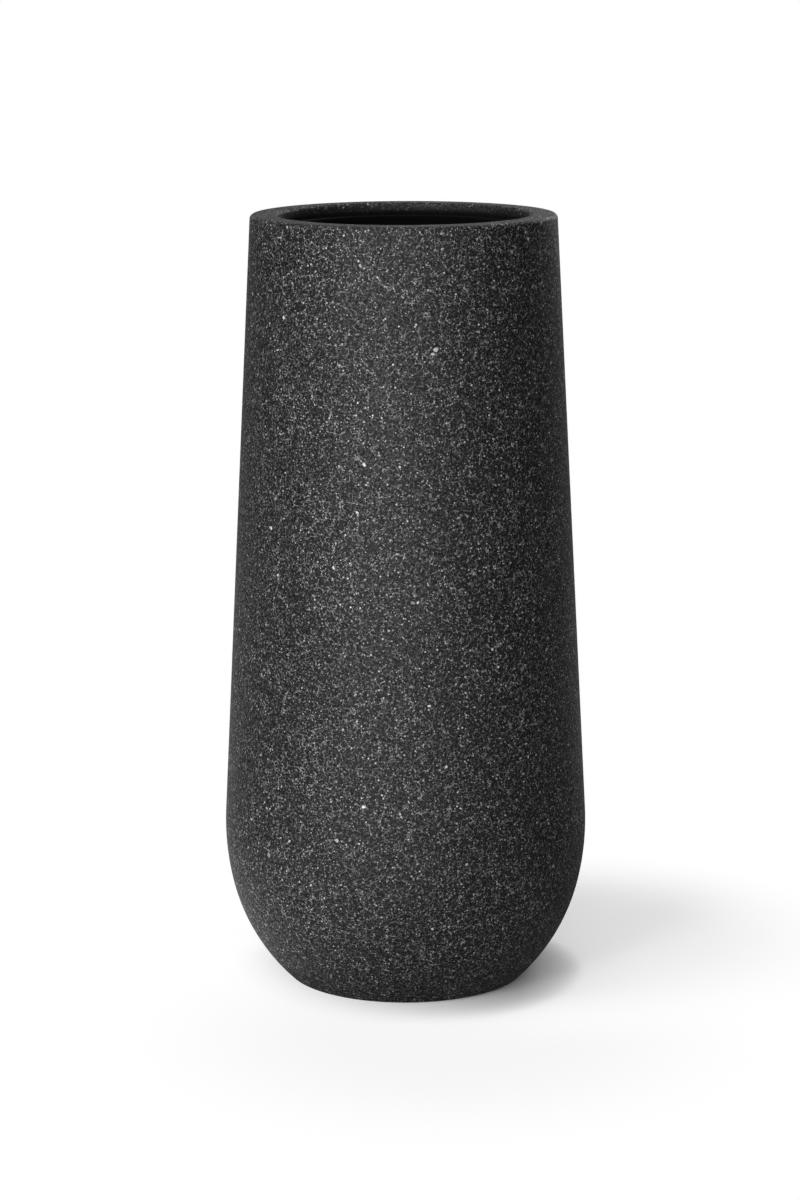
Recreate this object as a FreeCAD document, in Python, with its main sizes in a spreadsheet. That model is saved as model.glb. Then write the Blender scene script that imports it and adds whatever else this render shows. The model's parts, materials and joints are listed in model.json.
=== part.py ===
import FreeCAD, Part
import math
import os

import Sketcher

# Tall floor planter: a moulded stone-composite body, a liner that drops into its mouth, two wire
# handles in the liner, a drain plug and four foot pads. Millimetres, floor at z = 0, +Z up.

SIZES = {
    # Body, outside
    "overall_height": 800.0,
    "rim_outer_dia": 312.8,
    "flank_taper_deg": 2.98,
    "belly_top_height": 178.0,
    "belly_radius": 268.0,
    "heel_top_height": 101.6,
    "heel_radius": 203.0,
    # Body, inside and rim
    "wall_thickness": 10.0,
    "floor_thickness": 12.0,
    "floor_corner_round": 14.0,
    "rim_width": 27.7,
    "ledge_width": 10.0,
    "ledge_thickness": 12.0,
    "collar_slope_deg": 45.0,
    "rim_round_outer": 4.4,
    "rim_round_inner": 3.5,
    "ledge_edge_round": 1.2,
    # Body, underside
    "foot_ring_width": 34.0,
    "recess_depth": 8.0,
    "foot_edge_round": 2.0,
    "drain_dia": 28.0,
    # Foot pads
    "pad_count": 4,
    "pad_dia": 20.0,
    "pad_thickness": 4.5,
    "pad_edge_round": 1.0,
    "socket_depth": 2.5,
    "socket_clearance": 0.2,
    # Drain plug
    "plug_clearance": 0.05,
    "plug_head_lip": 8.0,
    "plug_head_thickness": 4.0,
    "plug_head_round": 1.2,
    "plug_tip_length": 6.0,
    "plug_tip_inset": 2.5,
    "plug_skin": 4.0,
    "plug_grip_length": 24.0,
    "plug_grip_width": 6.0,
    "plug_grip_depth": 2.5,
    # Liner
    "flange_drop": 12.5,
    "flange_thickness": 4.0,
    "flange_clearance": 1.5,
    "flange_edge_round": 1.2,
    "neck_clearance": 2.0,
    "liner_depth": 320.0,
    "liner_draft_deg": 3.5,
    "liner_wall": 3.0,
    "liner_floor": 3.5,
    "liner_corner_round": 16.0,
    "liner_drain_dia": 9.0,
    "liner_drain_web": 19.0,
    "liner_drain_count": 6,
    # Handle ears on the liner
    "pivot_drop": 18.0,
    "pivot_inset": 10.6,
    "pivot_clearance": 0.08,
    "ear_thickness": 8.0,
    "ear_half_height": 6.5,
    "ear_side_gap": 0.6,
    "ear_nose_flat": 0.5,
    # Wire handles
    "handle_dia": 5.0,
    "handle_span": 76.0,
    "handle_drop": 46.0,
    "handle_pivot_bend": 7.0,
    "handle_corner_bend": 14.0,
    "handle_end_reach": 1.5,
    "handle_end_round": 0.8,
}

doc = FreeCAD.newDocument("planter")
dims = doc.addObject("Spreadsheet::Sheet", "dims")
for row, (alias, number) in enumerate(SIZES.items(), start=1):
    dims.set(f"A{row}", alias)
    dims.set(f"B{row}", str(number))
    dims.setAlias(f"B{row}", alias)
doc.recompute()

# Heights and radii shared by more than one piece
RIM_RADIUS = "(dims.rim_outer_dia / 2)"
MOUTH_RADIUS = f"({RIM_RADIUS} - dims.rim_width)"
FOOT_PLANE = "(dims.pad_thickness - dims.socket_depth)"
SOCKET_ROOF = f"({FOOT_PLANE} + dims.socket_depth)"
RECESS_ROOF = f"({FOOT_PLANE} + dims.recess_depth)"
FLOOR_TOP = f"({RECESS_ROOF} + dims.floor_thickness)"
LEDGE_HEIGHT = "(dims.overall_height - dims.flange_drop - dims.flange_thickness)"
LEDGE_RADIUS = f"({MOUTH_RADIUS} - dims.ledge_width)"
LEDGE_UNDERSIDE = f"({LEDGE_HEIGHT} - dims.ledge_thickness)"

# Flank of the body: a straight taper, then the belly arc, then the heel arc
TAPER = "(dims.flank_taper_deg * 1 deg)"
BELLY_TOP_RADIUS = (
    f"({RIM_RADIUS} + (dims.overall_height - dims.belly_top_height) * tan({TAPER}))"
)
BELLY_CENTRE_X = f"({BELLY_TOP_RADIUS} - dims.belly_radius * cos({TAPER}))"
BELLY_CENTRE_Z = f"(dims.belly_top_height - dims.belly_radius * sin({TAPER}))"
HEEL_SINE = f"(({BELLY_CENTRE_Z} - dims.heel_top_height) / dims.belly_radius)"
HEEL_COSINE = f"sqrt(1 - {HEEL_SINE} ^ 2)"
CENTRE_STEP = "(dims.belly_radius - dims.heel_radius)"
HEEL_CENTRE_X = f"({BELLY_CENTRE_X} + {CENTRE_STEP} * {HEEL_COSINE})"
HEEL_CENTRE_Z = f"({BELLY_CENTRE_Z} - {CENTRE_STEP} * {HEEL_SINE})"


def heel_radius_at(height, inset="0"):
    """Radius of the heel arc at a height, set in from the outside face."""
    arc = f"(dims.heel_radius - {inset})"
    return f"({HEEL_CENTRE_X} + sqrt({arc} ^ 2 - ({height} - {HEEL_CENTRE_Z}) ^ 2))"


# Foot ring under the body, with the pads in its middle
FOOT_RADIUS = heel_radius_at(FOOT_PLANE)
RECESS_RADIUS = f"({FOOT_RADIUS} - dims.foot_ring_width)"
PAD_RADIUS = f"({FOOT_RADIUS} - dims.foot_ring_width / 2)"
PLUG_HEAD_RADIUS = "(dims.drain_dia / 2 + dims.plug_head_lip)"

# Liner, measured from the underside of its flange
LINER_DRAFT = "(dims.liner_draft_deg * 1 deg)"
NECK_RADIUS = f"({LEDGE_RADIUS} - dims.neck_clearance)"
FLANGE_RADIUS = f"({MOUTH_RADIUS} - dims.flange_clearance)"
FLANGE_TOP = "dims.flange_thickness"
LINER_BOTTOM = "(dims.flange_thickness - dims.liner_depth)"
LINER_FLOOR = f"({LINER_BOTTOM} + dims.liner_floor)"
PIVOT_HEIGHT = "(dims.flange_thickness - dims.pivot_drop)"


def liner_outer_radius(height):
    """Outside radius of the liner wall at a height above the flange underside."""
    return f"({NECK_RADIUS} + {height} * tan({LINER_DRAFT}))"


def liner_inner_radius(height):
    """Inside radius of the liner wall at a height above the flange underside."""
    return f"({liner_outer_radius(height)} - dims.liner_wall / cos({LINER_DRAFT}))"


# Handle and ears, measured along the pivot axis from the middle of the handle
LEG_OFFSET = "(dims.handle_span / 2)"
EAR_NEAR = f"({LEG_OFFSET} + dims.handle_pivot_bend + dims.ear_side_gap)"
EAR_FAR = f"({EAR_NEAR} + dims.ear_thickness)"
HANDLE_END = f"({EAR_FAR} + dims.handle_end_reach)"

# Pivot axis: set in from the liner wall beside the ends of the wire, so that the ears reach the wall
WALL_AT_HANDLE_END = f"sqrt({liner_inner_radius(PIVOT_HEIGHT)} ^ 2 - {HANDLE_END} ^ 2)"
PIVOT_RADIUS = f"({WALL_AT_HANDLE_END} - dims.pivot_inset)"
HUB_RADIUS = f"({PIVOT_RADIUS} - dims.ear_half_height)"
LINER_DRAIN_RADIUS = (
    f"({liner_outer_radius(LINER_BOTTOM)} - dims.liner_corner_round"
    " - dims.liner_drain_dia / 2 - dims.liner_drain_web)"
)


def value(relation):
    """Number that a relation between sheet cells gives."""
    result = dims.evalExpression(str(relation))
    return float(getattr(result, "Value", result))


# Sketch helpers. A sketch numbers its own axes below zero, and the points of a segment from one;
# its origin is the start point of its level axis.
AXIS_NAMES = ("", "level", "upright")
POINT_NAMES = ("", "start", "end", "centre")
LEVEL_AXIS, UPRIGHT_AXIS = (-AXIS_NAMES.index(name) for name in ("level", "upright"))
START, END, CENTRE = (POINT_NAMES.index(name) for name in ("start", "end", "centre"))


def new_body(name):
    body = doc.addObject("PartDesign::Body", name)
    body.Label = name
    return body


def origin_feature(body, role):
    return next(item for item in body.Origin.OriginFeatures if item.Role == role)


def new_sketch(body, name, plane, offset=None):
    """Sketch on one of the body's own origin planes, moved along its normal by a relation."""
    sketch = body.newObject("Sketcher::SketchObject", name)
    sketch.AttachmentSupport = [(origin_feature(body, plane), "")]
    sketch.MapMode = "FlatFace"
    if offset is not None:
        sketch.setExpression("AttachmentOffset.Base.z", offset)
    return sketch


def rule(sketch, kind, *where):
    return sketch.addConstraint(Sketcher.Constraint(kind, *where))


def drive(sketch, relation, kind, *where):
    """Add one dimension to a sketch and bind it to a relation between sheet cells."""
    number = value(relation)
    if kind == "Angle":
        number = math.radians(number)
    index = rule(sketch, kind, *where, number)
    sketch.setExpression(f"Constraints[{index}]", relation)


def fix_point(sketch, item, end, x=None, y=None):
    """Hold a point at given distances from the sketch origin; None leaves that way free."""
    if x is not None:
        drive(sketch, x, "DistanceX", LEVEL_AXIS, START, item, end)
    if y is not None:
        drive(sketch, y, "DistanceY", LEVEL_AXIS, START, item, end)


def pin_point(sketch, item, end, x, y):
    """Hold a point at given distances from the sketch origin; None puts it on that axis."""
    if x is None and y is None:
        rule(sketch, "Coincident", item, end, LEVEL_AXIS, START)
        return
    if x is None:
        rule(sketch, "PointOnObject", item, end, UPRIGHT_AXIS)
    if y is None:
        rule(sketch, "PointOnObject", item, end, LEVEL_AXIS)
    fix_point(sketch, item, end, x, y)


def number_or_zero(relation):
    return 0.0 if relation is None else value(relation)


def join(sketch, item, following, kind="Coincident", ends=(END, START)):
    """Tie an end of one segment to an end of the following one."""
    rule(sketch, kind, item, ends[0], following, ends[1])


def vector(x, y):
    return FreeCAD.Vector(x, y, 0)


def circle_about(centre, radius):
    return Part.Circle(vector(*centre), FreeCAD.Vector(0, 0, 1), radius)


def add_line(sketch, start, end):
    return sketch.addGeometry(Part.LineSegment(vector(*start), vector(*end)), False)


def add_arc(sketch, centre, radius, start_angle, end_angle):
    arc = Part.ArcOfCircle(circle_about(centre, radius), start_angle, end_angle)
    return sketch.addGeometry(arc, False)


def draw_polygon(sketch, corners):
    """Closed outline through corners given as (x, y) relations; None lies on the sketch axis."""
    spots = [(number_or_zero(x), number_or_zero(y)) for x, y in corners]
    sides = [add_line(sketch, *pair) for pair in zip(spots, spots[1:] + spots[:1])]
    for side, following in zip(sides, sides[1:] + sides[:1]):
        join(sketch, side, following)
    for side, (x, y) in zip(sides, corners):
        pin_point(sketch, side, START, x, y)


def draw_circle(sketch, x, y, radius):
    """Circle with its centre and radius given as relations; None lies on the sketch axis."""
    centre = (number_or_zero(x), number_or_zero(y))
    item = sketch.addGeometry(circle_about(centre, value(radius)), False)
    pin_point(sketch, item, CENTRE, x, y)
    drive(sketch, radius, "Radius", item)


# Feature helpers

def turn(body, sketch, kind, name):
    """Turn a sketch a full circle about the upright axis, to add or to cut."""
    feature = body.newObject(f"PartDesign::{kind}", name)
    feature.Profile = sketch
    feature.ReferenceAxis = (sketch, ["V_Axis"])
    feature.Angle = 360
    doc.recompute()
    return feature


def extrude(body, sketch, kind, name, length, reverse=False, both_ways=False):
    feature = body.newObject(f"PartDesign::{kind}", name)
    feature.Profile = sketch
    feature.setExpression("Length", length)
    feature.Reversed = reverse
    feature.SideType = "Symmetric" if both_ways else "One side"
    doc.recompute()
    return feature


def repeat_round(body, feature, name, count):
    pattern = body.newObject("PartDesign::PolarPattern", name)
    pattern.Originals = [feature]
    pattern.Axis = (origin_feature(body, "Z_Axis"), [""])
    pattern.Angle = 360
    pattern.setExpression("Occurrences", count)
    body.Tip = pattern
    doc.recompute()
    return pattern


def ring_edges(feature, radius, height):
    """Names of the circular edges about the upright axis at a radius and a height."""
    names = []
    for number, edge in enumerate(feature.Shape.Edges, start=1):
        if not isinstance(edge.Curve, Part.Circle):
            continue
        centre = edge.Curve.Center
        misses = (edge.Curve.Radius - value(radius), centre.z - value(height), centre.x, centre.y)
        if max(abs(miss) for miss in misses) < 0.01:
            names.append(f"Edge{number}")
    return names


def round_edges(body, feature, name, edges, radius):
    fillet = body.newObject("PartDesign::Fillet", name)
    fillet.Base = (feature, edges)
    fillet.setExpression("Radius", radius)
    doc.recompute()
    return fillet


def place(body, x=None, y=None, z=None):
    for axis, relation in (("x", x), ("y", y), ("z", z)):
        if relation is not None:
            body.setExpression(f"Placement.Base.{axis}", relation)


# Body of the planter

def flank_start(inset):
    """Lower end of the straight flank, as relations, set in from the outside face."""
    return (
        f"({BELLY_TOP_RADIUS} - {inset} * cos({TAPER}))",
        f"(dims.belly_top_height - {inset} * sin({TAPER}))",
    )


def flank(sketch, inset, bottom, top):
    """Heel arc, belly arc and straight flank, set in from the outside face by a relation."""
    belly = f"(dims.belly_radius - {inset})"
    heel = f"(dims.heel_radius - {inset})"
    start_x, start_z = flank_start(inset)
    belly_centre = (value(BELLY_CENTRE_X), value(BELLY_CENTRE_Z))
    heel_centre = (value(HEEL_CENTRE_X), value(HEEL_CENTRE_Z))
    foot = (value(heel_radius_at(bottom, inset)), value(bottom))
    low_angle = math.atan2(foot[1] - heel_centre[1], foot[0] - heel_centre[0])
    turn_angle = -math.asin(value(HEEL_SINE))
    taper_angle = math.radians(value("dims.flank_taper_deg"))

    heel_arc = add_arc(sketch, heel_centre, value(heel), low_angle, turn_angle)
    belly_arc = add_arc(sketch, belly_centre, value(belly), turn_angle, taper_angle)
    straight = add_line(sketch, (value(start_x), value(start_z)), top)
    join(sketch, heel_arc, belly_arc, "Tangent")
    join(sketch, belly_arc, straight, "Tangent")
    drive(sketch, heel, "Radius", heel_arc)
    drive(sketch, belly, "Radius", belly_arc)
    fix_point(sketch, belly_arc, START, y=f"(dims.heel_top_height + {inset} * {HEEL_SINE})")
    fix_point(sketch, straight, START, x=start_x, y=start_z)
    return heel_arc, straight, foot


def close_at_axis(sketch, outer, heel_arc, top, foot, bottom):
    """Top line, axis and base line that close a flank into a profile to be turned."""
    top_line = add_line(sketch, top, (0, top[1]))
    axis = add_line(sketch, (0, top[1]), (0, foot[1]))
    base = add_line(sketch, (0, foot[1]), foot)
    for item, following in ((outer, top_line), (top_line, axis), (axis, base), (base, heel_arc)):
        join(sketch, item, following)
    rule(sketch, "Horizontal", top_line)
    rule(sketch, "Horizontal", base)
    rule(sketch, "PointOnObject", axis, START, UPRIGHT_AXIS)
    pin_point(sketch, axis, END, None, bottom)


def shell_outline(body):
    sketch = new_sketch(body, "shell_outline", "XZ_Plane")
    rim = (value(RIM_RADIUS), value("dims.overall_height"))
    heel_arc, straight, foot = flank(sketch, "0", FOOT_PLANE, rim)
    close_at_axis(sketch, straight, heel_arc, rim, foot, FOOT_PLANE)
    fix_point(sketch, straight, END, x=RIM_RADIUS, y="dims.overall_height")
    return sketch


def collar_foot():
    """Spot where the slope under the liner ledge meets the inside of the wall."""
    wall_x, wall_z = (value(way) for way in flank_start("dims.wall_thickness"))
    bore_x, bore_z = value(LEDGE_RADIUS), value(LEDGE_UNDERSIDE)
    lean = math.tan(math.radians(value("dims.flank_taper_deg")))
    slope = math.radians(value("dims.collar_slope_deg"))
    reach = wall_x - (bore_z - wall_z) * lean - bore_x
    run = reach / (math.cos(slope) - math.sin(slope) * lean)
    return bore_x + run * math.cos(slope), bore_z - run * math.sin(slope)


def shell_cavity(body):
    """Inside of the body: floor, wall, sloped collar, liner ledge and mouth."""
    sketch = new_sketch(body, "shell_cavity", "XZ_Plane")
    knee = collar_foot()
    heel_arc, straight, foot = flank(sketch, "dims.wall_thickness", FLOOR_TOP, knee)
    ledge_z, bore_x = value(LEDGE_HEIGHT), value(LEDGE_RADIUS)
    bore_low = (bore_x, value(LEDGE_UNDERSIDE))
    rim = (value(MOUTH_RADIUS), value("dims.overall_height"))
    slope = add_line(sketch, knee, bore_low)
    bore = add_line(sketch, bore_low, (bore_x, ledge_z))
    ledge = add_line(sketch, (bore_x, ledge_z), (rim[0], ledge_z))
    mouth = add_line(sketch, (rim[0], ledge_z), rim)
    climb = [straight, slope, bore, ledge, mouth]
    for item, following in zip(climb, climb[1:]):
        join(sketch, item, following)
    close_at_axis(sketch, mouth, heel_arc, rim, foot, FLOOR_TOP)
    rule(sketch, "Vertical", bore)
    rule(sketch, "Horizontal", ledge)
    rule(sketch, "Vertical", mouth)
    drive(sketch, f"(90 deg + {TAPER})", "Angle", straight)
    drive(sketch, "(180 deg - dims.collar_slope_deg * 1 deg)", "Angle", slope)
    fix_point(sketch, slope, END, x=LEDGE_RADIUS, y=LEDGE_UNDERSIDE)
    fix_point(sketch, mouth, START, x=MOUTH_RADIUS, y=LEDGE_HEIGHT)
    fix_point(sketch, mouth, END, y="dims.overall_height")
    return sketch


def make_shell():
    body = new_body("planter_shell")
    turn(body, shell_outline(body), "Revolution", "shell_solid")
    feature = turn(body, shell_cavity(body), "Groove", "shell_hollow")
    edges = ring_edges(feature, heel_radius_at(FLOOR_TOP, "dims.wall_thickness"), FLOOR_TOP)
    round_edges(body, feature, "floor_corner", edges, "dims.floor_corner_round")

    # Recess under the floor, with the drain hole in its middle
    sketch = new_sketch(body, "shell_underside", "XZ_Plane")
    draw_polygon(sketch, [
        (None, FOOT_PLANE),
        (RECESS_RADIUS, FOOT_PLANE),
        (RECESS_RADIUS, RECESS_ROOF),
        ("dims.drain_dia / 2", RECESS_ROOF),
        ("dims.drain_dia / 2", FLOOR_TOP),
        (None, FLOOR_TOP),
    ])
    turn(body, sketch, "Groove", "shell_recess")

    # Sockets for the foot pads, cut up into the foot ring
    sketch = new_sketch(body, "pad_sockets", "XY_Plane", FOOT_PLANE)
    socket_radius = "(dims.pad_dia / 2 + dims.socket_clearance)"
    draw_circle(sketch, pad_spot("cos", 0), pad_spot("sin", 0), socket_radius)
    socket = extrude(body, sketch, "Pocket", "pad_socket", "dims.socket_depth", reverse=True)
    feature = repeat_round(body, socket, "pad_socket_ring", "dims.pad_count")

    # Rounded edges of rim, ledge and foot
    for name, radius, height, size in (
        ("rim_outer_edge", RIM_RADIUS, "dims.overall_height", "dims.rim_round_outer"),
        ("rim_inner_edge", MOUTH_RADIUS, "dims.overall_height", "dims.rim_round_inner"),
        ("ledge_edge", LEDGE_RADIUS, LEDGE_HEIGHT, "dims.ledge_edge_round"),
        ("collar_edge", LEDGE_RADIUS, LEDGE_UNDERSIDE, "dims.ledge_edge_round"),
        ("recess_edge", RECESS_RADIUS, FOOT_PLANE, "dims.foot_edge_round"),
        ("foot_edge", FOOT_RADIUS, FOOT_PLANE, "dims.foot_edge_round"),
    ):
        feature = round_edges(body, feature, name, ring_edges(feature, radius, height), size)
    return body


# Foot pads, measured from the roof of their sockets

def pad_spot(function, number):
    """Place of a pad on its circle, along x (cos) or y (sin)."""
    angle = f"((45 + {number} * 360 / dims.pad_count) * 1 deg)"
    return f"({PAD_RADIUS} * {function}({angle}))"


def make_pad(number):
    name = f"foot_pad_{number + 1}"
    body = new_body(name)
    sketch = new_sketch(body, f"{name}_profile", "XZ_Plane")
    draw_polygon(sketch, [
        (None, None),
        (None, "-dims.pad_thickness"),
        ("dims.pad_dia / 2", "-dims.pad_thickness"),
        ("dims.pad_dia / 2", None),
    ])
    feature = turn(body, sketch, "Revolution", f"{name}_disc")
    edges = ring_edges(feature, "dims.pad_dia / 2", "-dims.pad_thickness")
    round_edges(body, feature, f"{name}_edge", edges, "dims.pad_edge_round")
    place(body, pad_spot("cos", number), pad_spot("sin", number), SOCKET_ROOF)
    return body


# Drain plug, measured from the roof of the recess that its head seats on

def make_plug():
    body = new_body("drain_plug")
    shank = "(dims.drain_dia / 2 - dims.plug_clearance)"
    tip = f"({shank} - dims.plug_tip_inset)"
    core = f"({tip} - dims.plug_skin)"
    top = "(dims.floor_thickness + dims.plug_tip_length)"
    sketch = new_sketch(body, "plug_profile", "XZ_Plane")
    draw_polygon(sketch, [
        (None, "-dims.plug_head_thickness"),
        (PLUG_HEAD_RADIUS, "-dims.plug_head_thickness"),
        (PLUG_HEAD_RADIUS, None),
        (shank, None),
        (shank, "dims.floor_thickness"),
        (tip, top),
        (core, top),
        (core, "dims.plug_skin"),
        (None, "dims.plug_skin"),
    ])
    feature = turn(body, sketch, "Revolution", "plug_solid")
    edges = ring_edges(feature, PLUG_HEAD_RADIUS, "-dims.plug_head_thickness")
    round_edges(body, feature, "plug_head_edge", edges, "dims.plug_head_round")

    # Finger grip across the underside of the head
    sketch = new_sketch(body, "plug_grip_outline", "XY_Plane", "-dims.plug_head_thickness")
    half_length, half_width = "(dims.plug_grip_length / 2)", "(dims.plug_grip_width / 2)"
    draw_polygon(sketch, [
        (f"-{half_length}", f"-{half_width}"),
        (half_length, f"-{half_width}"),
        (half_length, half_width),
        (f"-{half_length}", half_width),
    ])
    extrude(body, sketch, "Pad", "plug_grip", "dims.plug_grip_depth", reverse=True)
    place(body, z=RECESS_ROOF)
    return body


# Liner, measured from the underside of its flange

def draw_ear(sketch, side, hand, root):
    """Plan of one handle ear, from its hub out to a root radius inside the liner wall."""
    hub = f"({side} * {HUB_RADIUS})"
    first, second = f"({hand} * {EAR_NEAR})", f"({hand} * {EAR_FAR})"
    if side * hand < 0:
        first, second = second, first
    hub_x, first_y, second_y, radius = (value(way) for way in (hub, first, second, root))
    first_x = side * math.sqrt(radius ** 2 - first_y ** 2)
    second_x = side * math.sqrt(radius ** 2 - second_y ** 2)
    start_angle = math.atan2(first_y, first_x)
    sweep = (math.atan2(second_y, second_x) - start_angle) % (2 * math.pi)

    wall = add_arc(sketch, (0, 0), radius, start_angle, start_angle + sweep)
    leaving = add_line(sketch, (second_x, second_y), (hub_x, second_y))
    back = add_line(sketch, (hub_x, second_y), (hub_x, first_y))
    coming = add_line(sketch, (hub_x, first_y), (first_x, first_y))
    outline = [wall, leaving, back, coming]
    for item, following in zip(outline, outline[1:] + outline[:1]):
        join(sketch, item, following)
    rule(sketch, "Coincident", wall, CENTRE, LEVEL_AXIS, START)
    rule(sketch, "Horizontal", leaving)
    rule(sketch, "Horizontal", coming)
    rule(sketch, "Vertical", back)
    drive(sketch, root, "Radius", wall)
    fix_point(sketch, back, START, x=hub, y=second)
    fix_point(sketch, back, END, y=first)


def hub_edges(feature):
    """Names of the ear edges that run along the pivot axis at the inner end of the ears."""
    names = []
    for number, edge in enumerate(feature.Shape.Edges, start=1):
        if not isinstance(edge.Curve, Part.Line):
            continue
        at_hub = abs(abs(edge.CenterOfMass.x) - value(HUB_RADIUS)) < 0.01
        if at_hub and abs(edge.tangentAt(edge.FirstParameter).y) > 0.99:
            names.append(f"Edge{number}")
    return names


def make_liner():
    body = new_body("liner_pot")
    sketch = new_sketch(body, "liner_outline", "XZ_Plane")
    draw_polygon(sketch, [
        (None, LINER_BOTTOM),
        (liner_outer_radius(LINER_BOTTOM), LINER_BOTTOM),
        (NECK_RADIUS, None),
        (FLANGE_RADIUS, None),
        (FLANGE_RADIUS, FLANGE_TOP),
        (None, FLANGE_TOP),
    ])
    turn(body, sketch, "Revolution", "liner_solid")
    sketch = new_sketch(body, "liner_cavity", "XZ_Plane")
    draw_polygon(sketch, [
        (None, LINER_FLOOR),
        (liner_inner_radius(LINER_FLOOR), LINER_FLOOR),
        (liner_inner_radius(FLANGE_TOP), FLANGE_TOP),
        (None, FLANGE_TOP),
    ])
    feature = turn(body, sketch, "Groove", "liner_hollow")
    inner_corner = "(dims.liner_corner_round - dims.liner_wall)"
    for name, radius, height, size in (
        ("outer_corner", liner_outer_radius(LINER_BOTTOM), LINER_BOTTOM, "dims.liner_corner_round"),
        ("inner_corner", liner_inner_radius(LINER_FLOOR), LINER_FLOOR, inner_corner),
        ("flange_outer_edge", FLANGE_RADIUS, FLANGE_TOP, "dims.flange_edge_round"),
        ("flange_inner_edge", liner_inner_radius(FLANGE_TOP), FLANGE_TOP, "dims.flange_edge_round"),
    ):
        feature = round_edges(body, feature, name, ring_edges(feature, radius, height), size)

    # Drain holes: one in the middle and a ring of them round it
    hole_radius = "(dims.liner_drain_dia / 2)"
    sketch = new_sketch(body, "drain_middle", "XY_Plane", LINER_BOTTOM)
    draw_circle(sketch, None, None, hole_radius)
    extrude(body, sketch, "Pocket", "drain_middle_hole", "dims.liner_floor", reverse=True)
    sketch = new_sketch(body, "drain_outer", "XY_Plane", LINER_BOTTOM)
    draw_circle(sketch, LINER_DRAIN_RADIUS, None, hole_radius)
    hole = extrude(body, sketch, "Pocket", "drain_outer_hole", "dims.liner_floor", reverse=True)
    repeat_round(body, hole, "drain_outer_ring", "dims.liner_drain_count")

    # Ears that carry the handles, moulded onto the inside of the wall
    ear_top = f"({PIVOT_HEIGHT} + dims.ear_half_height)"
    ear_root = f"({liner_inner_radius(ear_top)} + dims.liner_wall / 2)"
    sketch = new_sketch(body, "ear_plan", "XY_Plane", f"({PIVOT_HEIGHT} - dims.ear_half_height)")
    for side in (1, -1):
        for hand in (1, -1):
            draw_ear(sketch, side, hand, ear_root)
    feature = extrude(body, sketch, "Pad", "ears", "(2 * dims.ear_half_height)")
    nose_round = "(dims.ear_half_height - dims.ear_nose_flat)"
    round_edges(body, feature, "ear_hubs", hub_edges(feature), nose_round)

    # Pivot holes through the ears only, ending short of the wall beyond them
    sketch = new_sketch(body, "pivot_circles", "XZ_Plane")
    pivot_hole = "(dims.handle_dia / 2 + dims.pivot_clearance)"
    for side in (1, -1):
        draw_circle(sketch, f"({side} * {PIVOT_RADIUS})", PIVOT_HEIGHT, pivot_hole)
    reach = f"(2 * ({EAR_FAR} + dims.ear_side_gap))"
    extrude(body, sketch, "Pocket", "pivot_holes", reach, both_ways=True)
    place(body, z=LEDGE_HEIGHT)
    return body


# Wire handles, measured from the middle of their pivot axis

def handle_path(body, name):
    """Centre line of the wire: end, bend, leg, corner and the grip bar, then the same back."""
    sketch = new_sketch(body, f"{name}_path", "YZ_Plane")
    leg, end = value(LEG_OFFSET), value(HANDLE_END)
    bend, corner = value("dims.handle_pivot_bend"), value("dims.handle_corner_bend")
    low = -value("dims.handle_drop")
    quarter = math.pi / 2
    near_end = add_line(sketch, (-end, 0), (-leg - bend, 0))
    near_bend = add_arc(sketch, (-leg - bend, -bend), bend, 0, quarter)
    near_leg = add_line(sketch, (-leg, -bend), (-leg, low + corner))
    near_corner = add_arc(sketch, (corner - leg, low + corner), corner, 2 * quarter, 3 * quarter)
    grip = add_line(sketch, (corner - leg, low), (leg - corner, low))
    far_corner = add_arc(sketch, (leg - corner, low + corner), corner, 3 * quarter, 4 * quarter)
    far_leg = add_line(sketch, (leg, low + corner), (leg, -bend))
    far_bend = add_arc(sketch, (leg + bend, -bend), bend, quarter, 2 * quarter)
    far_end = add_line(sketch, (leg + bend, 0), (end, 0))

    join(sketch, near_end, near_bend, "Tangent", (END, END))
    join(sketch, near_bend, near_leg, "Tangent", (START, START))
    run = [near_leg, near_corner, grip, far_corner, far_leg]
    for item, following in zip(run, run[1:]):
        join(sketch, item, following, "Tangent")
    join(sketch, far_leg, far_bend, "Tangent", (END, END))
    join(sketch, far_bend, far_end, "Tangent", (START, START))
    for item in (near_end, grip, far_end):
        rule(sketch, "Horizontal", item)
    for item in (near_leg, far_leg):
        rule(sketch, "Vertical", item)
    for item in (near_bend, far_bend):
        drive(sketch, "dims.handle_pivot_bend", "Radius", item)
    for item in (near_corner, far_corner):
        drive(sketch, "dims.handle_corner_bend", "Radius", item)
    pin_point(sketch, near_end, START, f"-{HANDLE_END}", None)
    pin_point(sketch, far_end, END, HANDLE_END, None)
    fix_point(sketch, near_leg, START, x=f"-{LEG_OFFSET}")
    fix_point(sketch, far_leg, START, x=LEG_OFFSET)
    fix_point(sketch, grip, START, y="-dims.handle_drop")
    return sketch


def make_handle(name, side):
    body = new_body(name)
    path = handle_path(body, name)
    section = new_sketch(body, f"{name}_section", "XZ_Plane", HANDLE_END)
    draw_circle(section, None, None, "(dims.handle_dia / 2)")
    doc.recompute()
    wire = body.newObject("PartDesign::AdditivePipe", f"{name}_wire")
    wire.Profile = section
    wire.Spine = path
    doc.recompute()
    end_edges = [
        f"Edge{number}" for number, edge in enumerate(wire.Shape.Edges, start=1)
        if abs(abs(edge.BoundBox.YMin) - value(HANDLE_END)) < 0.01 and edge.BoundBox.YLength < 0.01
    ]
    round_edges(body, wire, f"{name}_ends", end_edges, "dims.handle_end_round")
    place(body, x=f"({side} * {PIVOT_RADIUS})", z=f"({LEDGE_HEIGHT} + {PIVOT_HEIGHT})")
    return body


pieces = [make_shell(), make_plug(), make_liner()]
pieces += [make_pad(number) for number in range(SIZES["pad_count"])]
pieces += [make_handle("lift_handle_left", -1), make_handle("lift_handle_right", 1)]
doc.recompute()

for item in doc.Objects:
    if "Invalid" in item.State or "Error" in item.State:
        raise RuntimeError(f"{item.Label} does not compute: {item.State}")

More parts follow.
